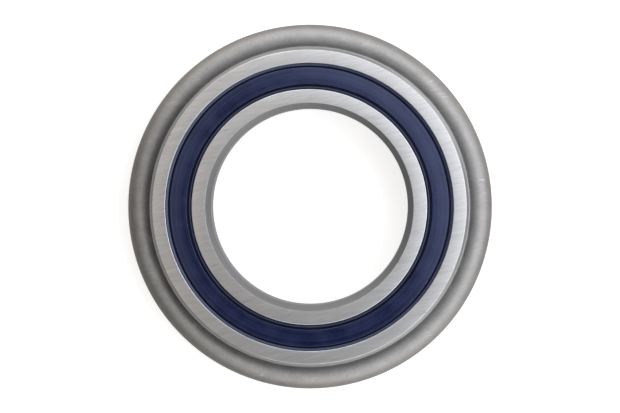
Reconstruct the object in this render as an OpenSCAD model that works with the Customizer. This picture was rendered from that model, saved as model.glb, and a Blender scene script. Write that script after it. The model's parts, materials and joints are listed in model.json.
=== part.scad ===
// Sealed angular contact ball bearing that releases a clutch: the outer ring turns with the diaphragm
// spring fingers, and the inner ring is pressed on the sliding sleeve.
// The bearing's axis is Z. Z = 0 is the top of the contact crown that the fingers run on.

/* [Inner ring] */
// Diameter of the bore that is pressed on the sleeve
bore_d = 45.2; // [44:0.1:48]
// Wall of the inner ring from the bore to the rear seal land
inner_wall = 4.4; // [4:0.1:5.2]
// Chamfer at the rear end of the bore
rear_bore_chamfer = 1.27; // [0.6:0.01:1.6]
// Chamfer at the front end of the bore
front_bore_chamfer = 1; // [0.5:0.1:1.4]
// Height of the front lip that the balls snap over, above the bottom of the raceway
snap_lip = 0.27; // [0.15:0.01:0.4]
// Edge break on the sharp edges of the ground faces
edge_break = 0.15; // [0.05:0.01:0.3]

/* [Outer ring] */
// Radial span between the inner ring's rear land and the outer ring's mouth
seal_span = 6; // [5.5:0.1:6.8]
// Width of the bearing from the contact crown to the ground rear faces
overall_w = 16; // [15.5:0.1:20]
// Wall of the outer ring's rear body from its mouth to its outside
body_wall = 3.6; // [3.2:0.1:4.4]
// Chamfer round the rear face
body_chamfer = 0.62; // [0.3:0.01:1]
// Reach of the flange beyond the rear body
flange_reach = 5.4; // [4.8:0.1:6.2]
// Drop from the rear face to the crest of the flange's rounded rim
rim_drop = 6; // [5:0.1:7]
// Distance from the flange's outside to the crest of the rim
crest_inset = 2.8; // [2.4:0.1:3.2]
// Slope at which the rim's inner arc runs into the valley
flank_angle = 52; // [40:1:65]
// Radius of the fillet between the rim and the rear body
valley_r = 0.3; // [0.2:0.05:0.6]
// Slope at which the rim's outer arc runs into its edge
edge_angle = 52; // [40:1:65]
// Radius of the edge between the rim and the flange's outside
edge_r = 0.5; // [0.3:0.05:1]
// Radius of the contact crown in section
crown_r = 40; // [30:1:60]
// Distance from the flange's outside to the top of the contact crown
crown_inset = 4.5; // [4:0.1:5]
// Radius between the contact crown and the flange's outside
corner_r = 3; // [2:0.1:3.5]
// Step from the mouth in to the raceway's shoulders
shoulder_step = 0.2; // [0.1:0.05:0.4]
// Width and depth of the cone that leads into the front mouth
front_flare = 0.8; // [0.5:0.1:1]

/* [Balls and cage] */
// Number of balls
ball_count = 16; // [12:1:16]
// Diameter of a ball
ball_d = 8.731; // [8.5:0.001:9]
// Angle between the line of contact and the plane of the balls
contact_angle = 20; // [10:1:25]
// Raceway radius of the outer ring for each unit of ball diameter
outer_conformity = 0.53; // [0.52:0.005:0.55]
// Raceway radius of the inner ring for each unit of ball diameter
inner_conformity = 0.52; // [0.515:0.005:0.54]
// Running gap between a ball and each raceway, on the line of contact
running_gap = 0.05; // [0.03:0.01:0.08]
// Radial width of the cage
cage_w = 3.2; // [2.6:0.1:3.6]
// Clearance between a ball and its pocket
pocket_gap = 0.15; // [0.1:0.01:0.2]
// Reach of the cage's claws past the middle of the balls
claw_reach = 2; // [1.5:0.1:2.4]
// Width of the notch between two pairs of claws
notch_w = 1.2; // [0.8:0.1:1.4]
// Height of the notch above the middle of the balls
notch_rise = 1.2; // [0.6:0.1:1.8]
// Gap between the back of the cage and the rear seal
cage_gap = 0.5; // [0.3:0.05:0.6]

/* [Seals] */
// Room for the cage and the seal between the balls and each end of the inner ring
end_room = 2.83; // [2.7:0.01:3.2]
// Depth of the seal's flat below the ends of the rings
seal_recess = 0.35; // [0.2:0.05:0.5]
// Rubber over the seal's steel core
seal_cover = 0.6; // [0.4:0.05:0.7]
// Sheet thickness of the seal's steel core
core_t = 0.5; // [0.4:0.05:0.6]
// Gap between a seal lip and the land of the inner ring
lip_gap = 0.1; // [0.05:0.01:0.2]
// Axial thickness of a seal lip at its edge
lip_t = 0.3; // [0.2:0.05:0.4]
// Bevel from the crest of a seal lip down to its edge
lip_bevel = 0.2; // [0.1:0.05:0.3]
// Width of the flexible band between a seal lip and the seal's flat
lip_band = 1.05; // [0.95:0.05:1.4]
// Width of the band between the seal's flat and the outer ring
rim_band = 1; // [0.9:0.05:1.3]
// Width of the groove that lets a seal lip flex
lip_groove_w = 0.56; // [0.4:0.02:0.6]
// Width of the groove between the seal's flat and its rim
rim_groove_w = 0.4; // [0.3:0.02:0.5]
// Depth of both grooves below the seal's flat
face_groove_depth = 0.65; // [0.4:0.05:0.7]
// Fall of a seal's rim from the outer ring to its groove
rim_fall = 0.2; // [0.1:0.05:0.3]
// Axial thickness of the outer ring's lip that keeps a seal in
seat_lip = 0.8; // [0.6:0.05:1]
// Axial width of the groove that a seal's bead snaps into
seat_w = 1.3; // [1.1:0.05:1.5]
// Depth of that groove behind the mouth
seat_depth = 0.7; // [0.5:0.05:0.9]
// Clearance between a seal's bead and its groove
seat_gap = 0.05; // [0.03:0.01:0.1]

/* [Hidden] */
$fn = 96;
ball_r = ball_d / 2;
// Overshoot of a cutting shape past what it cuts
cut = 1;

// Radii, from the bore outwards
bore_r = bore_d / 2;
land_r = bore_r + inner_wall;
mouth_r = land_r + seal_span;
pitch_r = (land_r + mouth_r) / 2;
shoulder_r = mouth_r - shoulder_step;
seat_r = mouth_r + seat_depth;
body_r = mouth_r + body_wall;
flange_r = body_r + flange_reach;

// Heights, from the contact crown up to the rear faces
inner_w = ball_d + 2 * end_room;
inner_front_z = overall_w - inner_w;
ball_z = overall_w - inner_w / 2;
seal_inner = seal_recess + seal_cover + core_t;
cage_top_z = overall_w - seal_inner - cage_gap;
claw_z = ball_z - claw_reach;

// Raceways, offset so that the balls touch on the line of contact
outer_groove_r = outer_conformity * ball_d;
inner_groove_r = inner_conformity * ball_d;
contact_line = [cos(contact_angle), -sin(contact_angle)];
ball_centre = [pitch_r, ball_z];
outer_race = ball_centre - contact_line * (outer_groove_r - ball_r - running_gap);
inner_race = ball_centre + contact_line * (inner_groove_r - ball_r - running_gap);
snap_r = inner_race.x - inner_groove_r + snap_lip;

// Rim section: two arcs that meet on the crest, the fillet at the rear body and the round edge
crest = [flange_r - crest_inset, overall_w - rim_drop];
rim_in_r = (crest.x - body_r - valley_r) / sin(flank_angle) - valley_r;
rim_in_c = crest - [0, rim_in_r];
valley_c = rim_in_c + (rim_in_r + valley_r) * [-sin(flank_angle), cos(flank_angle)];
rim_out_r = (crest_inset - edge_r) / sin(edge_angle) + edge_r;
rim_out_c = crest - [0, rim_out_r];
edge_c = rim_out_c + (rim_out_r - edge_r) * [sin(edge_angle), cos(edge_angle)];
edge_end = rim_out_c + (rim_out_r + cut) * [sin(edge_angle), cos(edge_angle)];

// Crown section: the contact crown and its corner
crown_c = [flange_r - crown_inset, crown_r];
corner_x = flange_r - corner_r;
corner_c = [corner_x, crown_r - sqrt((crown_r - corner_r) ^ 2 - (corner_x - crown_c.x) ^ 2)];
corner_end = crown_c + (corner_c - crown_c) * (crown_r + cut) / (crown_r - corner_r);

// Seal section: the front seal's lip reaches further in, to the land behind the snap lip
rear_lip_r = land_r + lip_gap;
front_lip_r = snap_r + lip_gap;
flat_out_r = mouth_r - rim_band;
bead_out_r = seat_r - seat_gap;
bead_top = seat_lip + seat_gap;
bead_bottom = seat_lip + seat_w - seat_gap;
core_margin = 0.25;

function two_digits(n) = str(n < 10 ? "0" : "", n);
BALLS = [for (i = [1:ball_count]) str("ball_", two_digits(i))];

steel = "#b4b5b9";
ball_steel = "#d3d6da";
core_steel = "#8d9096";
rubber = "#2c3550";
nylon = "#d8d0bb";

// Flange from the contact crown up to the foot of its rim
module crown_section() {
    intersection() {
        translate(crown_c) circle(crown_r);
        polygon([
            [shoulder_r, -cut], corner_end, corner_c, [corner_c.x, rim_in_c.y], [shoulder_r, rim_in_c.y]
        ]);
    }
    translate(corner_c) circle(corner_r);
    translate(corner_c) square([corner_r, edge_c.y - corner_c.y]);
}

// Rounded rim of the flange, with the valley round the rear body
module rim_section() {
    translate(rim_in_c) circle(rim_in_r);
    difference() {
        polygon([
            [shoulder_r, rim_in_c.y], rim_in_c, valley_c, [body_r, valley_c.y], [shoulder_r, valley_c.y]
        ]);
        translate(valley_c) circle(valley_r);
    }
    intersection() {
        translate(rim_out_c) circle(rim_out_r);
        polygon([rim_out_c, crest + [0, cut], edge_end, edge_c]);
    }
    translate(edge_c) circle(edge_r);
}

// Rear body, whose end is the ground face
module body_section() {
    polygon([
        [shoulder_r, rim_in_c.y], [body_r, rim_in_c.y], [body_r, overall_w - body_chamfer],
        [body_r - body_chamfer, overall_w], [mouth_r + edge_break, overall_w],
        [mouth_r, overall_w - edge_break], [mouth_r, overall_w - seat_lip], [shoulder_r, overall_w - seat_lip]
    ]);
}

// Snap groove for a seal's bead, from the end plane of the rings inwards
module seat_section() {
    translate([shoulder_r - cut, seat_lip]) square([seat_r - shoulder_r + cut, seat_w]);
    translate([shoulder_r - cut, -cut]) square([mouth_r - shoulder_r + cut, seat_lip + 2 * cut]);
}

module outer_ring() {
    color(steel) rotate_extrude() difference() {
        union() {
            crown_section();
            rim_section();
            body_section();
        }
        translate(outer_race) circle(outer_groove_r);
        translate([0, overall_w]) mirror([0, 1]) seat_section();
        translate([0, inner_front_z]) seat_section();
        polygon([
            [shoulder_r - cut, -cut], [mouth_r + front_flare + cut, -cut], [mouth_r + front_flare, 0],
            [mouth_r, inner_front_z], [shoulder_r - cut, inner_front_z]
        ]);
    }
}

// One full shoulder at the rear takes the thrust; the low front lip lets the balls snap in
module inner_ring() {
    color(steel) rotate_extrude() difference() {
        polygon([
            [bore_r, inner_front_z + front_bore_chamfer], [bore_r + front_bore_chamfer, inner_front_z],
            [snap_r - edge_break, inner_front_z], [snap_r, inner_front_z + edge_break], [snap_r, ball_z],
            [land_r, ball_z], [land_r, overall_w - edge_break], [land_r - edge_break, overall_w],
            [bore_r + rear_bore_chamfer, overall_w], [bore_r, overall_w - rear_bore_chamfer]
        ]);
        translate(inner_race) circle(inner_groove_r);
    }
}

// Runs its children at each ball, with the ball's centre on the X axis; shift is in ball spacings
module at_each_ball(shift = 0) {
    for (i = [0:ball_count - 1]) rotate((i + shift) * 360 / ball_count) children();
}

// Notch that splits a web into two claws, open at the front and round at its end
module notch_section() {
    translate([-notch_w / 2, claw_z - cut]) square([notch_w, ball_z + notch_rise - claw_z + cut]);
    translate([0, ball_z + notch_rise]) circle(notch_w / 2);
}

// Moulded crown cage: a ring behind the balls with claws that reach past their middle
module cage() {
    color(nylon) difference() {
        rotate_extrude() translate([pitch_r - cage_w / 2, claw_z]) square([cage_w, cage_top_z - claw_z]);
        at_each_ball() translate([pitch_r, 0, ball_z]) sphere(ball_r + pocket_gap);
        at_each_ball(0.5) translate([pitch_r + cage_w / 2 + cut, 0, 0]) rotate([90, 0, -90])
            linear_extrude(cage_w + 2 * cut) notch_section();
    }
}

module ball(index) {
    color(ball_steel) rotate(index * 360 / ball_count) translate([pitch_r, 0, ball_z]) sphere(ball_r);
}

// Steel washer that stiffens a seal, with Y measured inwards from the end plane of the rings
module core_section(lip_r) {
    core_in_r = lip_r + lip_band + core_margin;
    translate([core_in_r, seal_recess + seal_cover])
        square([flat_out_r - core_margin - core_in_r, core_t]);
}

// Groove with a round bottom in a seal's face
module face_groove(inside_r, width) {
    bottom_y = seal_recess + face_groove_depth - width / 2;
    translate([inside_r + width / 2, bottom_y]) circle(width / 2);
    translate([inside_r, -cut]) square([width, bottom_y + cut]);
}

// Rubber of a seal: lip, flat, and the bead that snaps into the outer ring
module seal_section(lip_r) {
    flat_in_r = lip_r + lip_band;
    seal_rim_r = flat_out_r + rim_groove_w;
    seal_edge_r = mouth_r - seat_gap;
    lip_edge = seal_recess + lip_bevel;
    difference() {
        polygon([
            [lip_r, lip_edge], [lip_r, lip_edge + lip_t], [flat_in_r, seal_inner], [flat_out_r, seal_inner],
            [flat_out_r + bead_bottom - seal_inner, bead_bottom], [seat_r - seat_depth / 2, bead_bottom],
            [bead_out_r, bead_bottom - seat_depth / 2], [bead_out_r, bead_top], [seal_edge_r, bead_top],
            [seal_edge_r, seal_recess], [seal_rim_r, seal_recess + rim_fall], [flat_out_r, seal_recess],
            [lip_r + lip_bevel, seal_recess]
        ]);
        face_groove(flat_in_r - lip_groove_w, lip_groove_w);
        face_groove(flat_out_r, rim_groove_w);
        core_section(lip_r);
    }
}

// Turns a section drawn inwards from the rear end plane of the rings
module at_rear() {
    translate([0, 0, overall_w]) mirror([0, 0, 1]) rotate_extrude() children();
}

// Turns a section drawn inwards from the front end plane of the inner ring
module at_front() {
    translate([0, 0, inner_front_z]) rotate_extrude() children();
}

module rear_seal() { color(rubber) at_rear() seal_section(rear_lip_r); }
module rear_seal_core() { color(core_steel) at_rear() core_section(rear_lip_r); }
module front_seal() { color(rubber) at_front() seal_section(front_lip_r); }
module front_seal_core() { color(core_steel) at_front() core_section(front_lip_r); }

outer_ring();
inner_ring();
cage();
rear_seal();
rear_seal_core();
front_seal();
front_seal_core();
for (i = [0:ball_count - 1]) ball(i);
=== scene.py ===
"""Looks of a sealed clutch release bearing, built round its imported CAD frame.

The two steel rings and the two rubber seals are traced as half sections and spun about the bearing's axis.
The balls, the cage and the seals' steel cores keep their CAD solids and get their finish here.
"""
import functools
import json
import math
import bpy
from mathutils import Matrix, Vector


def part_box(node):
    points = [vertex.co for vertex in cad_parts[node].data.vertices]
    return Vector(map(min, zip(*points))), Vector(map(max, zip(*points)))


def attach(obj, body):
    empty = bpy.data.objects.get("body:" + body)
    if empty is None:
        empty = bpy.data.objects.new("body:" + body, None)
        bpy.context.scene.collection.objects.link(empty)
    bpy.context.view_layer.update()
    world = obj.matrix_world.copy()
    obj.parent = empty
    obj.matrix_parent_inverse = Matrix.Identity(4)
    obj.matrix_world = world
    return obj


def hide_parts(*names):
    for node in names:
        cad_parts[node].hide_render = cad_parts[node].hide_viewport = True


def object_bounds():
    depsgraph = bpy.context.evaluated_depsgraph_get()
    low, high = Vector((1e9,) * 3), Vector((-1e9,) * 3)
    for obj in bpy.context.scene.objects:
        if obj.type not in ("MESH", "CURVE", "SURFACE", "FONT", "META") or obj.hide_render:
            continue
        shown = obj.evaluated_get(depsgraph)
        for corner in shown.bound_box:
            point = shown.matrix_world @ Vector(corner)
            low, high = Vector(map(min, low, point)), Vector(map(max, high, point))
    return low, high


bl_info = {
    "name": "Clutch release bearing",
    "version": (1, 0, 0),
    "blender": (4, 5, 0),
    "location": "View3D > Sidebar > Bearing",
    "description": "Models and finishes a sealed clutch release bearing",
    "category": "Object",
}

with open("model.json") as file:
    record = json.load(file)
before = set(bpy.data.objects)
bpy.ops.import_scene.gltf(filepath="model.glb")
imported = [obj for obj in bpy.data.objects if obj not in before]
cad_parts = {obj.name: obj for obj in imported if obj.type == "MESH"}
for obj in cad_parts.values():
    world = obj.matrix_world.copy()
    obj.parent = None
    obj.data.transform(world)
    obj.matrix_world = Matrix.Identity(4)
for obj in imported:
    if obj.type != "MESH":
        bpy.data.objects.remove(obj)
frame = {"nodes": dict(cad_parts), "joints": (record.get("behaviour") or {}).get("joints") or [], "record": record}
CAD_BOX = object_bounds()
NODES = frame["nodes"]
HUB_BORE = next(mount for mount in frame["record"]["mounts"] if mount["name"] == "hub_bore")
BALL_JOINT = next(joint for joint in frame["joints"] if joint["name"] == "ball_01_spin")
MM = 0.001
BALL_NODES = sorted(name for name in NODES if name.startswith("ball_"))
CORE_NODES = ("rear_seal_core", "front_seal_core")
CONTACT_AXIS = Vector(BALL_JOINT["axis"])
# Steps of a full turn about the axis, and the angle of a step along an arc of a section
SPIN_STEPS = 256
ARC_STEP = math.radians(6)
# Points nearer than this are one point, and edges sharper than this angle stay crisp
MERGE_GAP = 0.0005 * MM
SMOOTH_ANGLE = math.radians(28)
# Upright share of a normal from which a facet belongs to a face and not to a chamfer
FACE_SLOPE = 0.95
# Radius at which the film of oil on the rim starts, and its share at the edge
OIL_FROM = 39.5 * MM
OIL_SHARE = 0.6
# Radius out to which handling has scuffed the top of the rim, the width over which the scuffs fade out
# there, and their share in the rim's colour
SCUFFS_TO = 41.2 * MM
SCUFF_FADE = 0.6 * MM
SCUFF_SHARE = 0.45
# Width of the floor, and its gap below the bearing, which keeps the two surfaces apart
FLOOR_WIDTH = 6
FLOOR_GAP = 0.02 * MM
# Camera: the point of the rear faces' plane that it aims at, its tilt from upright in degrees to the right
# and to the top of the picture, its distance from that point and its near and far limits in metres, and its
# focal length in millimetres
CAMERA_AIM = (0.17 * MM, 0.13 * MM)
CAMERA_TILT = (1.1, 0.69)
CAMERA_DISTANCE = 0.85
CAMERA_LIMITS = (0.01, 20)
CAMERA_LENS = 215.7
# Glow of the floor to the camera, and in the steel that mirrors it
GLOW = 0.7
GLOW_IN_STEEL = 0.3
# Strength of the world's light on the bearing
WORLD_LIGHT = 0.02
# Width of a soft box for each unit of its distance
BOX_SPREAD = 0.68
# Soft boxes: name, azimuth and elevation in degrees, distance in metres, watts, colour
SOFT_BOXES = (
    ("right_box", 25, 50, 0.35, 0.40, "#FBFCFF"),
    ("high_right_box", 33, 69, 0.35, 0.23, "#FCFDFF"),
    ("low_right_box", 40, 8, 0.35, 0.21, "#FFFFFF"),
    ("near_top_box", 90, 40, 0.18, 0.12, "#FFFFFF"),
    ("upper_left_box", 120, 35, 0.35, 0.34, "#FFFBF6"),
    ("high_left_box", 170, 64, 0.35, 0.13, "#FFF4E6"),
    ("near_bottom_box", 270, 43, 0.18, 0.10, "#FFFCF7"),
    ("bottom_box", 300, 35, 0.35, 0.22, "#FFFEFC"),
    ("low_lower_right_box", 315, 8, 0.35, 0.12, "#FFFFFF"),
    ("lower_right_box", 335, 50, 0.35, 0.40, "#FBFCFF"),
)


def outside(name):
    """Outer radius of a round CAD node."""
    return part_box(name)[1].x


def length(name, description, default):
    """A size in metres that a user may change."""
    return bpy.props.FloatProperty(
        name=name, description=description, default=default, unit="LENGTH", precision=5)


def slope(name, description, degrees):
    """An angle that a user may change."""
    return bpy.props.FloatProperty(
        name=name, description=description, default=math.radians(degrees), subtype="ANGLE")


def colour(name, description, default):
    """A colour as an sRGB hex value."""
    return bpy.props.StringProperty(name=name, description=description, default=default)


class BearingSizes(bpy.types.PropertyGroup):
    """Sizes of the rings and the seals."""
    bore_radius: length("Bore radius", "Radius of the bore", HUB_BORE["dims"]["r_mm"] * MM)
    bore_length: length("Bore length", "Bore between its chamfers", HUB_BORE["dims"]["length_mm"] * MM)
    bore_middle: length("Bore middle", "Height of the middle of the bore", HUB_BORE["pos_m"][2])
    rear: length("Rear face", "Height of the ground rear faces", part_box("inner_ring")[1].z)
    ring_front: length("Inner ring front", "Height of its front face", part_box("inner_ring")[0].z)
    land_radius: length("Seal land radius", "Radius of the inner ring's rear land", outside("inner_ring"))
    flange_radius: length("Flange radius", "Outer radius of the flange", outside("outer_ring"))
    pitch_radius: length("Pitch radius", "Radius of the balls' circle", BALL_JOINT["pos_m"][0])
    ball_height: length("Ball height", "Height of the balls' centres", BALL_JOINT["pos_m"][2])
    ball_radius: length("Ball radius", "Radius of a ball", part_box("ball_01")[1].z - BALL_JOINT["pos_m"][2])
    edge_break: length("Edge break", "Edge break of the ground faces", 0.15 * MM)
    face_round: length("Face round", "Round between the outer ring's rear face and its chamfer", 0.14 * MM)
    corner_round: length("Corner round", "Round that tumbling leaves on a chamfer's corners", 0.06 * MM)
    snap_lip: length("Snap lip", "Height of the inner ring's front lip above its raceway", 0.27 * MM)
    running_gap: length("Running gap", "Gap between a ball and each raceway", 0.05 * MM)
    body_wall: length("Body wall", "Wall of the outer ring's rear body", 3.6 * MM)
    body_chamfer: length("Body chamfer", "Chamfer round the rear face", 0.62 * MM)
    rim_drop: length("Rim drop", "Drop from the rear face to the crest of the rim", 6 * MM)
    crest_inset: length("Crest inset", "From the flange's outside to the crest of the rim", 2.8 * MM)
    flank_angle: slope("Flank angle", "Slope at which the rim's inner arc runs into the valley", 52)
    valley_radius: length("Valley radius", "Fillet between the rim and the rear body", 0.3 * MM)
    edge_angle: slope("Edge angle", "Slope at which the rim's outer arc runs into its edge", 52)
    edge_radius: length("Edge radius", "Round edge between the rim and the flange's outside", 0.5 * MM)
    crown_radius: length("Crown radius", "Radius of the contact crown in section", 40 * MM)
    crown_inset: length("Crown inset", "From the flange's outside to the top of the crown", 4.5 * MM)
    corner_radius: length("Corner radius", "Radius between the crown and the flange's outside", 3 * MM)
    front_flare: length("Front flare", "Width of the cone that leads into the front mouth", 0.8 * MM)
    shoulder_step: length("Shoulder step", "Step from the mouth in to the raceway's shoulders", 0.2 * MM)
    seat_lip: length("Seat lip", "Thickness of the lip that keeps a seal in", 0.8 * MM)
    seat_width: length("Seat width", "Width of the groove for a seal's bead", 1.3 * MM)
    seat_depth: length("Seat depth", "Depth of that groove behind the mouth", 0.7 * MM)
    seat_gap: length("Seat gap", "Clearance between a seal's bead and its groove", 0.05 * MM)
    seal_recess: length("Seal recess", "Depth of a seal's flat below the rings", 0.35 * MM)
    lip_gap: length("Lip gap", "Gap between a seal lip and its land", 0.1 * MM)
    lip_thickness: length("Lip thickness", "Thickness of a seal lip at its edge", 0.3 * MM)
    lip_bevel: length("Lip bevel", "Bevel from the crest of a seal lip down to its edge", 0.2 * MM)
    lip_band: length("Lip band", "Width of the band between a seal's lip and its flat", 1.05 * MM)
    rim_band: length("Rim band", "Width of the band between a seal's flat and the outer ring", 1 * MM)
    lip_groove: length("Lip groove", "Width of the groove that lets a seal lip flex", 0.56 * MM)
    rim_groove: length("Rim groove", "Width of the groove between a seal's flat and its rim", 0.4 * MM)
    groove_depth: length("Groove depth", "Depth of both grooves below a seal's flat", 0.65 * MM)
    rim_fall: length("Rim fall", "Fall of a seal's rim from the outer ring to its groove", 0.2 * MM)
    flat_round: length("Flat round", "Round on the edges of a seal's flat", 0.12 * MM)
    outer_conformity: bpy.props.FloatProperty(
        name="Outer conformity", default=0.53,
        description="Outer raceway radius for each unit of ball diameter")
    inner_conformity: bpy.props.FloatProperty(
        name="Inner conformity", default=0.52,
        description="Inner raceway radius for each unit of ball diameter")


class BearingFinish(bpy.types.PropertyGroup):
    """Colours of the finishes."""
    ground_steel: colour("Ground steel", "Faces ground flat", "#CCCDD0")
    turned_steel: colour("Turned steel", "Body of the outer ring and its chamfer", "#B6B5B5")
    bored_steel: colour("Bored steel", "Bore and its chamfers", "#959597")
    rim_steel: colour("Rim steel", "Tumbled rim and flange", "#9F9FA0")
    oil_film: colour("Oil film", "Warm film of oil at the rim's edge", "#9F9992")
    scuff_steel: colour("Scuffed steel", "Bright scuffs on the rim", "#EEEEF0")
    ball_steel: colour("Ball steel", "Lapped balls", "#DADCDF")
    core_steel: colour("Core steel", "Seal cores of rolled sheet", "#8F9196")
    rubber: colour("Rubber", "Seal rubber", "#0A1130")
    # The groove rubber is darker than the rubber itself: painted shade for the seals' deep grooves
    groove_rubber_painted_shade: colour("Groove rubber", "Matte rubber in the grooves of a seal", "#060A1C")
    rubber_sheen: colour("Rubber sheen", "Tint of the light that the dyed rubber throws back", "#C8D4FF")
    rubber_bloom: colour("Rubber bloom", "Dusty bloom on the rubber", "#4B567C")
    nylon: colour("Nylon", "Moulded cage", "#D8D0BB")
    floor: colour("Floor", "Floor under the bearing", "#BBBBBB")


def sizes():
    """The bearing's sizes in this scene."""
    return bpy.context.scene.bearing_sizes


def finish():
    """The colours of the bearing's finishes in this scene."""
    return bpy.context.scene.bearing_finish


def linear(code):
    """An sRGB hex value as linear RGBA."""
    channels = [int(code[i:i + 2], 16) / 255 for i in (1, 3, 5)]
    return (*[c / 12.92 if c <= 0.04045 else ((c + 0.055) / 1.055) ** 2.4 for c in channels], 1)


def add_node(tree, kind, out, inputs, **settings):
    """Adds a node with its settings; an input that is given a socket is linked, and any other is set."""
    made = tree.nodes.new("ShaderNode" + kind)
    for name, value in settings.items():
        setattr(made, name, value)
    for name, value in inputs.items():
        if isinstance(value, bpy.types.NodeSocket):
            tree.links.new(value, made.inputs[name])
        else:
            made.inputs[name].default_value = value
    return None if out is None else made.outputs[out]


def new_material(name):
    """An empty node material, its tree and the Object coordinates in it."""
    material = bpy.data.materials.new(name)
    material.use_nodes = True
    tree = material.node_tree
    tree.nodes.clear()
    return material, tree, add_node(tree, "TexCoord", "Object", {})


def shaded(code, share):
    """A share of a hex colour's light, as linear RGBA."""
    return (*[share * c for c in linear(code)[:3]], 1)


def streaks(tree, place, angle, long, wide):
    """Noise drawn out along one direction: marks of a given length and width, in metres."""
    mapped = add_node(tree, "Mapping", "Vector", {
        "Vector": place, "Rotation": (0, 0, math.radians(angle)), "Scale": (long, wide, long)},
        vector_type="TEXTURE")
    return add_node(tree, "TexNoise", "Fac", {"Vector": mapped, "Scale": 1, "Detail": 3, "Roughness": 0.65})


def tool_rings(tree, place, wide):
    """The radius, and noise that changes only with radius and height, like the rings of a turning tool."""
    split = add_node(tree, "VectorMath", "Vector", {0: place, 1: (1, 1, 0)}, operation="MULTIPLY")
    radius = add_node(tree, "VectorMath", "Value", {0: split}, operation="LENGTH")
    flat = add_node(tree, "VectorMath", "Vector", {0: place, 1: (0, 0, 1)}, operation="MULTIPLY")
    height = add_node(tree, "VectorMath", "Value", {0: flat}, operation="LENGTH")
    section = add_node(tree, "CombineXYZ", "Vector", {"X": radius, "Y": height})
    return radius, add_node(tree, "TexNoise", "Fac", {"Vector": section, "Scale": 1 / wide, "Detail": 2})


@functools.cache
def ground_steel():
    """Bearing steel, surface ground: a pale satin face with fine straight marks at two angles."""
    material, tree, place = new_material("bearing_steel_ground")
    code = finish().ground_steel
    # Grit marks are about 0.02 mm wide on the real face; they are drawn 0.25 and 0.5 mm wide to show
    first = streaks(tree, place, 24, 8 * MM, 0.25 * MM)
    second = streaks(tree, place, 8, 7 * MM, 0.5 * MM)
    marks = add_node(tree, "Mix", 0, {0: 0.5, 2: first, 3: second})
    share = add_node(tree, "MapRange", 0, {"Value": marks, "From Min": 0.25, "From Max": 0.75})
    base = add_node(tree, "Mix", 2, {
        0: share, 6: shaded(code, 0.78), 7: shaded(code, 1.2)}, data_type="RGBA")
    rough = add_node(tree, "MapRange", 0, {"Value": marks, "To Min": 0.26, "To Max": 0.3})
    shader = add_node(tree, "BsdfPrincipled", "BSDF", {
        "Base Color": base, "Metallic": 1, "Roughness": rough})
    add_node(tree, "OutputMaterial", None, {"Surface": shader})
    return material


def turned_steel(name, code, smoothest, roughest):
    """Bearing steel, turned and hardened: grey satin with faint rings round the axis, duller and darker in
    the bore."""
    material, tree, place = new_material(name)
    # A finishing cut feeds about 0.08 mm a turn; the rings are drawn 0.25 mm wide so that they show
    rings = tool_rings(tree, place, 0.25 * MM)[1]
    base = add_node(tree, "Mix", 2, {
        0: rings, 6: shaded(code, 0.88), 7: shaded(code, 1.1)}, data_type="RGBA")
    rough = add_node(tree, "MapRange", 0, {"Value": rings, "To Min": smoothest, "To Max": roughest})
    normal = add_node(tree, "Bump", "Normal", {"Height": rings, "Strength": 0.1, "Distance": 0.02 * MM})
    shader = add_node(tree, "BsdfPrincipled", "BSDF", {
        "Base Color": base, "Metallic": 1, "Roughness": rough, "Normal": normal})
    add_node(tree, "OutputMaterial", None, {"Surface": shader})
    return material


def rim_steel():
    """Bearing steel, tumbled after hardening: matte satin, with a warm film of oil at the edge and a few
    bright scuffs."""
    material, tree, place = new_material("bearing_steel_tumbled")
    code = finish().rim_steel
    clouds = add_node(tree, "TexNoise", "Fac", {"Vector": place, "Scale": 1 / (3 * MM), "Detail": 3})
    fine = add_node(tree, "TexNoise", "Fac", {"Vector": place, "Scale": 1 / (0.6 * MM), "Detail": 2})
    mottle = add_node(tree, "Mix", 0, {0: 0.4, 2: clouds, 3: fine})
    share = add_node(tree, "MapRange", 0, {"Value": mottle, "From Min": 0.3, "From Max": 0.7})
    plain = add_node(tree, "Mix", 2, {
        0: share, 6: shaded(code, 0.84), 7: shaded(code, 1.14)}, data_type="RGBA")
    radius, rings = tool_rings(tree, place, 0.5 * MM)
    edge = add_node(tree, "MapRange", 0, {
        "Value": radius, "From Min": OIL_FROM, "From Max": sizes().flange_radius, "To Max": OIL_SHARE})
    oiled = add_node(tree, "Mix", 2, {0: edge, 6: plain, 7: linear(finish().oil_film)}, data_type="RGBA")
    scratches = streaks(tree, place, 12, 4 * MM, 0.4 * MM)
    patches = add_node(tree, "TexNoise", "Fac", {"Vector": place, "Scale": 1 / (6 * MM), "Detail": 1})
    scratched = add_node(tree, "MapRange", 0, {"Value": scratches, "From Min": 0.6, "From Max": 0.75})
    handled = add_node(tree, "MapRange", 0, {"Value": patches, "From Min": 0.5, "From Max": 0.6})
    upper = add_node(tree, "MapRange", 0, {
        "Value": radius, "From Min": SCUFFS_TO, "From Max": SCUFFS_TO - SCUFF_FADE, "To Max": SCUFF_SHARE})
    rubbed = add_node(tree, "Math", 0, {0: handled, 1: upper}, operation="MULTIPLY")
    scuffs = add_node(tree, "Math", 0, {0: scratched, 1: rubbed}, operation="MULTIPLY")
    base = add_node(tree, "Mix", 2, {
        0: scuffs, 6: oiled, 7: linear(finish().scuff_steel)}, data_type="RGBA")
    rough = add_node(tree, "MapRange", 0, {"Value": clouds, "To Min": 0.55, "To Max": 0.65})
    dents = add_node(tree, "Mix", 0, {0: 0.3, 2: fine, 3: rings})
    normal = add_node(tree, "Bump", "Normal", {"Height": dents, "Strength": 0.15, "Distance": 0.03 * MM})
    shader = add_node(tree, "BsdfPrincipled", "BSDF", {
        "Base Color": base, "Metallic": 1, "Roughness": rough, "Normal": normal})
    add_node(tree, "OutputMaterial", None, {"Surface": shader})
    return material


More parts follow.
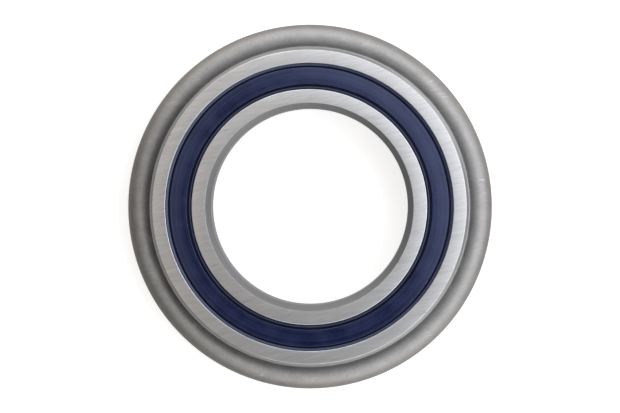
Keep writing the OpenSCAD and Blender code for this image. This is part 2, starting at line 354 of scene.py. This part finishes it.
def seal_rubber(name, smoothest, roughest):
    """Nitrile rubber, moulded: dark navy with a faint bloom, dust and rings of the mould, half gloss on the
    flat, where the mould is polished, and duller on the lip and the rim."""
    material, tree, place = new_material(name)
    clouds = add_node(tree, "TexNoise", "Fac", {"Vector": place, "Scale": 1 / (5 * MM), "Detail": 4})
    specks = add_node(tree, "TexNoise", "Fac", {"Vector": place, "Scale": 1 / (0.4 * MM), "Detail": 1})
    # The mould was turned too, with rings about 0.1 mm wide; they are drawn 0.5 mm wide so that they show
    rings = tool_rings(tree, place, 0.5 * MM)[1]
    film = add_node(tree, "Mix", 0, {0: 0.5, 2: clouds, 3: rings})
    haze = add_node(tree, "MapRange", 0, {"Value": film, "From Min": 0.4, "From Max": 0.7, "To Max": 0.16})
    dust = add_node(tree, "MapRange", 0, {
        "Value": specks, "From Min": 0.74, "From Max": 0.8, "To Max": 0.4})
    bloom = add_node(tree, "Math", 0, {0: haze, 1: dust}, operation="ADD")
    base = add_node(tree, "Mix", 2, {
        0: bloom, 6: linear(finish().rubber), 7: linear(finish().rubber_bloom)}, data_type="RGBA")
    rough = add_node(tree, "MapRange", 0, {"Value": clouds, "To Min": smoothest, "To Max": roughest})
    fine = add_node(tree, "TexNoise", "Fac", {"Vector": place, "Scale": 1 / (0.3 * MM), "Detail": 2})
    normal = add_node(tree, "Bump", "Normal", {"Height": fine, "Strength": 0.1, "Distance": 0.02 * MM})
    shader = add_node(tree, "BsdfPrincipled", "BSDF", {
        "Base Color": base, "Roughness": rough, "Specular IOR Level": 0.9,
        "Specular Tint": linear(finish().rubber_sheen), "Normal": normal})
    add_node(tree, "OutputMaterial", None, {"Surface": shader})
    return material


def groove_rubber_painted_shade():
    """Nitrile rubber, moulded against a spark eroded groove: matte, and darkened to nearly black beside the flat
    as painted shade in the grooves.
    """
    material, tree, place = new_material("nitrile_rubber_matte")
    code = finish().groove_rubber_painted_shade
    clouds = add_node(tree, "TexNoise", "Fac", {"Vector": place, "Scale": 1 / (2 * MM), "Detail": 2})
    base = add_node(tree, "Mix", 2, {
        0: clouds, 6: shaded(code, 0.8), 7: shaded(code, 1.2)}, data_type="RGBA")
    shader = add_node(tree, "BsdfPrincipled", "BSDF", {
        "Base Color": base, "Roughness": 0.75, "Specular IOR Level": 0.25})
    add_node(tree, "OutputMaterial", None, {"Surface": shader})
    return material


def lapped_steel():
    """Bearing steel, lapped: balls with a near mirror finish and the faintest clouding."""
    material, tree, place = new_material("bearing_steel_lapped")
    code = finish().ball_steel
    clouds = add_node(tree, "TexNoise", "Fac", {"Vector": place, "Scale": 1 / (1.2 * MM), "Detail": 2})
    base = add_node(tree, "Mix", 2, {
        0: clouds, 6: shaded(code, 0.94), 7: shaded(code, 1)}, data_type="RGBA")
    rough = add_node(tree, "MapRange", 0, {"Value": clouds, "To Min": 0.04, "To Max": 0.11})
    shader = add_node(tree, "BsdfPrincipled", "BSDF", {
        "Base Color": base, "Metallic": 1, "Roughness": rough})
    add_node(tree, "OutputMaterial", None, {"Surface": shader})
    return material


def sheet_steel():
    """Cold rolled steel sheet, phosphated for bonding: dull grey with straight rolling marks."""
    material, tree, place = new_material("cold_rolled_steel_sheet")
    code = finish().core_steel
    # Rolling marks are about 0.05 mm wide; they are drawn 0.3 mm wide so that they show
    rolled = streaks(tree, place, 0, 6 * MM, 0.3 * MM)
    base = add_node(tree, "Mix", 2, {
        0: rolled, 6: shaded(code, 0.7), 7: shaded(code, 1.1)}, data_type="RGBA")
    rough = add_node(tree, "MapRange", 0, {"Value": rolled, "To Min": 0.42, "To Max": 0.62})
    shader = add_node(tree, "BsdfPrincipled", "BSDF", {
        "Base Color": base, "Metallic": 1, "Roughness": rough})
    add_node(tree, "OutputMaterial", None, {"Surface": shader})
    return material


def cage_nylon():
    """Polyamide, injection moulded: warm off-white with a soft sheen and a fine mould grain."""
    material, tree, place = new_material("polyamide_moulded")
    code = finish().nylon
    clouds = add_node(tree, "TexNoise", "Fac", {"Vector": place, "Scale": 1 / (3 * MM), "Detail": 2})
    base = add_node(tree, "Mix", 2, {
        0: clouds, 6: shaded(code, 0.9), 7: shaded(code, 1)}, data_type="RGBA")
    rough = add_node(tree, "MapRange", 0, {"Value": clouds, "To Min": 0.4, "To Max": 0.54})
    fine = add_node(tree, "TexNoise", "Fac", {"Vector": place, "Scale": 1 / (0.3 * MM), "Detail": 2})
    normal = add_node(tree, "Bump", "Normal", {"Height": fine, "Strength": 0.2, "Distance": 0.02 * MM})
    shader = add_node(tree, "BsdfPrincipled", "BSDF", {
        "Base Color": base, "Roughness": rough, "Normal": normal})
    add_node(tree, "OutputMaterial", None, {"Surface": shader})
    return material


def floor_paper():
    """Pale paper: it keeps the bearing's shadow, and its glow shows to the camera and in the steel."""
    material, tree = new_material("floor_paper")[:2]
    seen = add_node(tree, "LightPath", "Is Camera Ray", {})
    path = seen.node.outputs
    mirrored = add_node(tree, "Math", 0, {
        0: path["Is Glossy Ray"], 1: path["Is Transmission Ray"]}, operation="MAXIMUM")
    shown = add_node(tree, "Math", 0, {0: mirrored, 1: GLOW_IN_STEEL}, operation="MULTIPLY")
    strength = add_node(tree, "Math", 0, {0: seen, 1: GLOW, 2: shown}, operation="MULTIPLY_ADD")
    paper = add_node(tree, "BsdfDiffuse", "BSDF", {"Color": linear(finish().floor)})
    glow = add_node(tree, "Emission", "Emission", {"Strength": strength})
    both = add_node(tree, "AddShader", "Shader", {0: paper, 1: glow})
    add_node(tree, "OutputMaterial", None, {"Surface": both})
    return material


def start_section(name, x, z):
    """A mesh of one point at the start of a half section, left in edit mode with the point selected."""
    bpy.ops.object.select_all(action="DESELECT")
    bpy.ops.mesh.primitive_plane_add(size=1 * MM, location=(0, 0, 0))
    piece = bpy.context.object
    piece.name = piece.data.name = name
    bpy.ops.object.mode_set(mode="EDIT")
    bpy.ops.mesh.select_all(action="SELECT")
    bpy.ops.mesh.merge(type="CENTER")
    bpy.ops.transform.translate(value=(x, 0, z))
    return piece


class Pen:
    """Traces a half section in the plane of X and Z: it extrudes its last point along lines and spins it
    along arcs."""

    def __init__(self, name, x, z):
        self.at = Vector((x, z))
        self.piece = start_section(name, x, z)

    def line(self, x, z):
        step = Vector((x, z)) - self.at
        bpy.ops.mesh.extrude_region_move(TRANSFORM_OT_translate={"value": (step.x, 0, step.y)})
        self.at = Vector((x, z))

    def arc(self, centre, turn):
        """Turns the point round a centre; a positive turn is anticlockwise with X to the right and Z up."""
        steps = max(2, round(abs(turn) / ARC_STEP))
        bpy.ops.mesh.spin(steps=steps, angle=turn, center=(centre.x, 0, centre.y), axis=(0, 1, 0))
        arm = self.at - centre
        cos, sin = math.cos(turn), math.sin(turn)
        self.at = centre + Vector((arm.x * cos - arm.y * sin, arm.x * sin + arm.y * cos))

    def arc_to(self, centre, x, z, anticlockwise):
        """Turns the point round a centre to a direction that the given point lies in."""
        start = math.atan2(self.at.y - centre.y, self.at.x - centre.x)
        turn = (math.atan2(z - centre.y, x - centre.x) - start) % (2 * math.pi)
        self.arc(centre, turn if anticlockwise else turn - 2 * math.pi)

    def rounded(self, corner, after, radius):
        """Goes towards a corner and rounds it, ready to go on to the point after it."""
        corner, after = Vector(corner), Vector(after)
        back, ahead = (self.at - corner).normalized(), (after - corner).normalized()
        half = back.angle(ahead) / 2
        begin = corner + back * radius / math.tan(half)
        centre = corner + (back + ahead).normalized() * radius / math.sin(half)
        end = corner + ahead * radius / math.tan(half)
        self.line(*begin)
        self.arc_to(centre, *end, back.x * ahead.y - back.y * ahead.x < 0)

    def turn_solid(self):
        """Closes the section, spins it into a ring and leaves edit mode."""
        bpy.ops.mesh.select_all(action="SELECT")
        bpy.ops.mesh.remove_doubles(threshold=MERGE_GAP)
        bpy.ops.mesh.spin(steps=SPIN_STEPS, angle=2 * math.pi, center=(0, 0, 0), axis=(0, 0, 1))
        bpy.ops.mesh.select_all(action="SELECT")
        bpy.ops.mesh.remove_doubles(threshold=MERGE_GAP)
        bpy.ops.mesh.normals_make_consistent(inside=False)
        bpy.ops.object.mode_set(mode="OBJECT")
        bpy.ops.object.shade_smooth_by_angle(angle=SMOOTH_ANGLE)
        return self.piece


def crossing(circle, radius, x):
    """Half the height of a circle where it crosses an upright line."""
    return math.sqrt(radius ** 2 - (x - circle.x) ** 2)


def raceways(s):
    """Centres and radii of the raceways in section, offset along the line of contact."""
    contact = Vector((CONTACT_AXIS.z, -math.hypot(CONTACT_AXIS.x, CONTACT_AXIS.y)))
    ball = Vector((s.pitch_radius, s.ball_height))
    outer, inner = 2 * s.ball_radius * s.outer_conformity, 2 * s.ball_radius * s.inner_conformity
    slack = s.ball_radius + s.running_gap
    return ball - contact * (outer - slack), outer, ball + contact * (inner - slack), inner


def mouth_radius(s):
    """Radius of the outer ring's mouths, as far outside the pitch circle as the seal land is inside it."""
    return 2 * s.pitch_radius - s.land_radius


def snap_radius(s):
    """Radius of the inner ring's front lip, which the balls snap over."""
    centre, radius = raceways(s)[2:]
    return centre.x - radius + s.snap_lip


def paint(piece, materials, zone):
    """Gives a piece its materials, and each face the one that its radius, height and slope call for."""
    for material in materials:
        piece.data.materials.append(material)
    for face in piece.data.polygons:
        face.material_index = zone(math.hypot(face.center.x, face.center.y), face.center.z, face.normal.z)


class BEARING_OT_outer_ring(bpy.types.Operator):
    """Traces and spins the outer ring with its flange, crown, raceway and seal seats"""
    bl_idname = "bearing.outer_ring"
    bl_label = "Outer ring"

    def execute(self, context):
        s = sizes()
        race, race_radius = raceways(s)[:2]
        mouth, body = mouth_radius(s), mouth_radius(s) + s.body_wall
        shoulder, seat = mouth - s.shoulder_step, mouth + s.seat_depth
        crest = Vector((s.flange_radius - s.crest_inset, s.rear - s.rim_drop))
        flank = Vector((-math.sin(s.flank_angle), math.cos(s.flank_angle)))
        inner_arm = (crest.x - body - s.valley_radius) / math.sin(s.flank_angle)
        inner_arc = crest - Vector((0, inner_arm - s.valley_radius))
        valley = inner_arc + flank * inner_arm
        fall = Vector((math.sin(s.edge_angle), math.cos(s.edge_angle)))
        outer_arm = (s.crest_inset - s.edge_radius) / math.sin(s.edge_angle)
        outer_arc = crest - Vector((0, outer_arm + s.edge_radius))
        edge = outer_arc + fall * outer_arm
        crown = Vector((s.flange_radius - s.crown_inset, s.crown_radius))
        corner_x = s.flange_radius - s.corner_radius
        corner_arm = math.sqrt((s.crown_radius - s.corner_radius) ** 2 - (corner_x - crown.x) ** 2)
        corner = Vector((corner_x, s.crown_radius - corner_arm))
        race_half = crossing(race, race_radius, shoulder)
        flare_top = Vector((mouth, s.ring_front))
        flare = Vector((mouth + s.front_flare, 0)) - flare_top
        arm = flare_top - crown
        a, b, c = flare.length_squared, 2 * flare.dot(arm), arm.length_squared - s.crown_radius ** 2
        flare_end = flare_top + flare * (-b + math.sqrt(b * b - 4 * a * c)) / (2 * a)

        pen = Pen("outer_ring_turned", mouth, s.rear - s.seat_lip)
        pen.rounded((mouth, s.rear), (body, s.rear), s.edge_break)
        pen.rounded((body - s.body_chamfer, s.rear), (body, s.rear - s.body_chamfer), s.face_round)
        pen.rounded((body, s.rear - s.body_chamfer), (body, valley.y), s.corner_round)
        pen.line(body, valley.y)
        pen.arc_to(valley, *inner_arc, True)
        pen.arc_to(inner_arc, *crest, False)
        pen.arc_to(outer_arc, *edge, False)
        pen.arc_to(edge, s.flange_radius, edge.y, False)
        pen.line(s.flange_radius, corner.y)
        pen.arc_to(corner, *(corner + corner - crown), False)
        pen.arc_to(crown, crown.x, 0, False)
        pen.arc_to(crown, *flare_end, False)
        pen.line(*flare_top)
        pen.line(mouth, s.ring_front + s.seat_lip)
        pen.line(seat, s.ring_front + s.seat_lip)
        pen.line(seat, s.ring_front + s.seat_lip + s.seat_width)
        pen.line(shoulder, s.ring_front + s.seat_lip + s.seat_width)
        pen.line(shoulder, race.y - race_half)
        pen.arc_to(race, shoulder, race.y + race_half, True)
        pen.line(shoulder, s.rear - s.seat_lip - s.seat_width)
        pen.line(seat, s.rear - s.seat_lip - s.seat_width)
        pen.line(seat, s.rear - s.seat_lip)
        pen.line(mouth, s.rear - s.seat_lip)
        ring = pen.turn_solid()

        # The facets of the face's round end within a third of its radius of the chamfer's corner
        def zone(radius, height, slope):
            if height > s.rear - s.face_round / 3 and radius < body - s.body_chamfer + s.face_round / 3:
                return 0
            if radius < mouth + s.edge_break or radius < body + s.corner_round and height > valley.y:
                return 1
            return 2

        turned = turned_steel("bearing_steel_turned", finish().turned_steel, 0.38, 0.46)
        paint(ring, (ground_steel(), turned, rim_steel()), zone)
        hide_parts("outer_ring")
        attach(ring, "outer")
        return {"FINISHED"}


class BEARING_OT_inner_ring(bpy.types.Operator):
    """Traces and spins the inner ring with its bore, raceway and snap lip"""
    bl_idname = "bearing.inner_ring"
    bl_label = "Inner ring"

    def execute(self, context):
        s = sizes()
        race, race_radius = raceways(s)[2:]
        snap = snap_radius(s)
        bore_top, bore_bottom = s.bore_middle + s.bore_length / 2, s.bore_middle - s.bore_length / 2
        rear_chamfer, front_chamfer = s.rear - bore_top, bore_bottom - s.ring_front
        pen = Pen("inner_ring_turned", s.bore_radius, bore_bottom)
        pen.rounded((s.bore_radius, bore_top), (s.bore_radius + rear_chamfer, s.rear), s.corner_round)
        pen.rounded((s.bore_radius + rear_chamfer, s.rear), (s.land_radius, s.rear), s.corner_round)
        pen.rounded((s.land_radius, s.rear), (s.land_radius, race.y), s.edge_break)
        pen.line(s.land_radius, race.y + crossing(race, race_radius, s.land_radius))
        pen.arc_to(race, snap, race.y - crossing(race, race_radius, snap), True)
        pen.rounded((snap, s.ring_front), (s.bore_radius, s.ring_front), s.edge_break)
        pen.rounded(
            (s.bore_radius + front_chamfer, s.ring_front), (s.bore_radius, bore_bottom), s.corner_round)
        pen.line(s.bore_radius, bore_bottom)
        ring = pen.turn_solid()

        def zone(radius, height, slope):
            bore_side = radius < s.bore_radius + rear_chamfer + s.corner_round / 2
            return 1 if bore_side and abs(slope) < FACE_SLOPE else 0

        bored = turned_steel("bearing_steel_bored", finish().bored_steel, 0.52, 0.6)
        paint(ring, (ground_steel(), bored), zone)
        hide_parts("inner_ring")
        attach(ring, "inner")
        return {"FINISHED"}


def mould_seal(name, end, inwards, lip, core_name, rubbers):
    """One seal, traced from its lip over its face to its bead and back round its steel core. Its rubbers are those
    of the flat, of the grooves, darkened there as painted shade, and of the lip and rim."""
    s = sizes()
    core_low, core_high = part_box(core_name)
    core_out = core_high.x
    near, far = (core_high.z, core_low.z) if inwards < 0 else (core_low.z, core_high.z)
    core_near, core_far = abs(near - end), abs(far - end)
    mouth = mouth_radius(s)
    flat_in, flat_out = lip + s.lip_band, mouth - s.rim_band
    core_in = flat_in + flat_out - core_out
    flat, bottom = s.seal_recess, s.seal_recess + s.groove_depth
    lip_edge, lip_wall = flat + s.lip_bevel, flat_in - s.lip_groove
    rim_wall, rim = flat_out + s.rim_groove, mouth - s.seat_gap
    bead, bead_top = mouth + s.seat_depth - s.seat_gap, s.seat_lip + s.seat_gap
    bead_bottom = s.seat_lip + s.seat_width - s.seat_gap

    def at(radius, depth):
        return Vector((radius, end + inwards * depth))

    def groove(pen, start, width):
        """Goes down the near wall of a groove and round its bottom to the far wall."""
        floor = bottom - width / 2
        pen.line(*at(start, floor))
        pen.arc_to(at(start + width / 2, floor), *at(start + width, floor), inwards < 0)

    pen = Pen(name, *at(lip, lip_edge + s.lip_thickness))
    pen.line(*at(lip, lip_edge))
    pen.rounded(at(lip + s.lip_bevel, flat), at(lip_wall, flat), s.corner_round)
    pen.rounded(at(lip_wall, flat), at(lip_wall, bottom), s.corner_round)
    groove(pen, lip_wall, s.lip_groove)
    pen.rounded(at(flat_in, flat), at(flat_out, flat), s.flat_round)
    pen.rounded(at(flat_out, flat), at(flat_out, bottom), s.flat_round)
    groove(pen, flat_out, s.rim_groove)
    pen.rounded(at(rim_wall, flat + s.rim_fall), at(rim, flat), s.corner_round)
    pen.rounded(at(rim, flat), at(rim, bead_top), s.corner_round)
    pen.line(*at(rim, bead_top))
    pen.line(*at(bead, bead_top))
    pen.line(*at(bead, bead_bottom - s.seat_depth / 2))
    pen.line(*at(mouth + s.seat_depth / 2, bead_bottom))
    pen.line(*at(flat_out + bead_bottom - core_far, bead_bottom))
    pen.line(*at(flat_out, core_far))
    pen.line(*at(core_out, core_far))
    pen.line(*at(core_out, core_near))
    pen.line(*at(core_in, core_near))
    pen.line(*at(core_in, core_far))
    pen.line(*at(flat_in, core_far))
    pen.line(*at(lip, lip_edge + s.lip_thickness))
    seal = pen.turn_solid()

    def zone(radius, height, slope):
        if radius < lip_wall or radius > rim_wall:
            return 2
        # Faces deep in the two grooves get the rubber that is darkened as painted shade
        in_groove = radius < flat_in or radius > flat_out
        return 1 if in_groove and abs(height - end) > flat + s.rim_fall else 0

    paint(seal, rubbers, zone)
    return seal


class BEARING_OT_seals(bpy.types.Operator):
    """Traces and spins the two moulded seals"""
    bl_idname = "bearing.seals"
    bl_label = "Seals"

    def execute(self, context):
        s = sizes()
        # The middle rubber is darkened as painted shade for the grooves
        rubbers = (seal_rubber("nitrile_rubber_polished", 0.12, 0.22), groove_rubber_painted_shade(),
                   seal_rubber("nitrile_rubber_moulded", 0.36, 0.5))
        ends = (("rear_seal", s.rear, -1, s.land_radius + s.lip_gap),
                ("front_seal", s.ring_front, 1, snap_radius(s) + s.lip_gap))
        for node, end, inwards, lip in ends:
            seal = mould_seal(node + "_moulded", end, inwards, lip, node + "_core", rubbers)
            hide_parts(node)
            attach(seal, "outer")
        return {"FINISHED"}


def refinish(nodes, material):
    """Gives CAD nodes a finished material in place of their plain one."""
    for name in nodes:
        NODES[name].data.materials.clear()
        NODES[name].data.materials.append(material)


class BEARING_OT_inner_pieces(bpy.types.Operator):
    """Finishes the balls, the cage and the seals' steel cores"""
    bl_idname = "bearing.inner_pieces"
    bl_label = "Balls, cage and cores"

    def execute(self, context):
        refinish(BALL_NODES, lapped_steel())
        refinish(("cage",), cage_nylon())
        refinish(CORE_NODES, sheet_steel())
        return {"FINISHED"}


def soft_box(name, azimuth, elevation, distance, watts, hue):
    """A square soft box that faces the bearing and that the camera doesn't see."""
    a, e = math.radians(azimuth), math.radians(elevation)
    towards = Vector((math.cos(e) * math.cos(a), math.cos(e) * math.sin(a), math.sin(e)))
    light = bpy.data.lights.new(name, "AREA")
    light.size = BOX_SPREAD * distance
    light.energy = watts
    light.color = linear(hue)[:3]
    made = bpy.data.objects.new(name, light)
    made.location = Vector((0, 0, sizes().rear)) + towards * distance
    made.rotation_euler = towards.to_track_quat("Z", "Y").to_euler()
    made.visible_camera = False
    bpy.context.scene.collection.objects.link(made)


def white_world():
    """A world that shows as white to the camera and gives the bearing next to no light."""
    world = bpy.data.worlds.new("studio")
    world.use_nodes = True
    tree = world.node_tree
    tree.nodes.clear()
    seen = add_node(tree, "LightPath", "Is Camera Ray", {})
    strength = add_node(tree, "Math", 0, {0: seen, 1: WORLD_LIGHT}, operation="MAXIMUM")
    shown = add_node(tree, "Background", "Background", {"Color": (1, 1, 1, 1), "Strength": strength})
    add_node(tree, "OutputWorld", None, {"Surface": shown})
    return world


class BEARING_OT_stage(bpy.types.Operator):
    """Sets the floor, the soft boxes, the world and the camera"""
    bl_idname = "bearing.stage"
    bl_label = "Stage"

    def execute(self, context):
        scene = context.scene
        scene.view_settings.view_transform = "Standard"
        bpy.ops.object.select_all(action="DESELECT")
        bpy.ops.mesh.primitive_plane_add(size=FLOOR_WIDTH, location=(0, 0, CAD_BOX[0].z - FLOOR_GAP))
        floor = context.object
        floor.name = "floor"
        floor.data.materials.append(floor_paper())

        scene.world = white_world()
        for box in SOFT_BOXES:
            soft_box(*box)

        camera = bpy.data.cameras.new("camera")
        camera.lens = CAMERA_LENS
        camera.clip_start, camera.clip_end = CAMERA_LIMITS
        seat = bpy.data.objects.new("camera", camera)
        aim = Vector((*CAMERA_AIM, sizes().rear))
        back = Vector((*[math.tan(math.radians(tilt)) for tilt in CAMERA_TILT], 1)).normalized()
        seat.location = aim + back * CAMERA_DISTANCE
        right = Vector((0, 1, 0)).cross(back).normalized()
        seat.rotation_euler = Matrix((right, back.cross(right), back)).transposed().to_euler()
        scene.collection.objects.link(seat)
        scene.camera = seat
        return {"FINISHED"}


OPERATORS = (
    BEARING_OT_outer_ring,
    BEARING_OT_inner_ring,
    BEARING_OT_seals,
    BEARING_OT_inner_pieces,
    BEARING_OT_stage,
)


class BEARING_PT_panel(bpy.types.Panel):
    """Lists the pieces in the order in which they are made"""
    bl_idname = "BEARING_PT_panel"
    bl_label = "Clutch release bearing"
    bl_space_type = "VIEW_3D"
    bl_region_type = "UI"
    bl_category = "Bearing"

    def draw(self, context):
        for operator in OPERATORS:
            self.layout.operator(operator.bl_idname)
        for group in (context.scene.bearing_sizes, context.scene.bearing_finish):
            for name in group.__annotations__:
                self.layout.prop(group, name)


CLASSES = (BearingSizes, BearingFinish, *OPERATORS, BEARING_PT_panel)


def register():
    for made in CLASSES:
        bpy.utils.register_class(made)
    bpy.types.Scene.bearing_sizes = bpy.props.PointerProperty(type=BearingSizes)
    bpy.types.Scene.bearing_finish = bpy.props.PointerProperty(type=BearingFinish)


def unregister():
    del bpy.types.Scene.bearing_finish
    del bpy.types.Scene.bearing_sizes
    for made in reversed(CLASSES):
        bpy.utils.unregister_class(made)


def main():
    register()
    bpy.ops.bearing.outer_ring()
    bpy.ops.bearing.inner_ring()
    bpy.ops.bearing.seals()
    bpy.ops.bearing.inner_pieces()
    bpy.ops.bearing.stage()


if __name__ == "__main__":
    main()
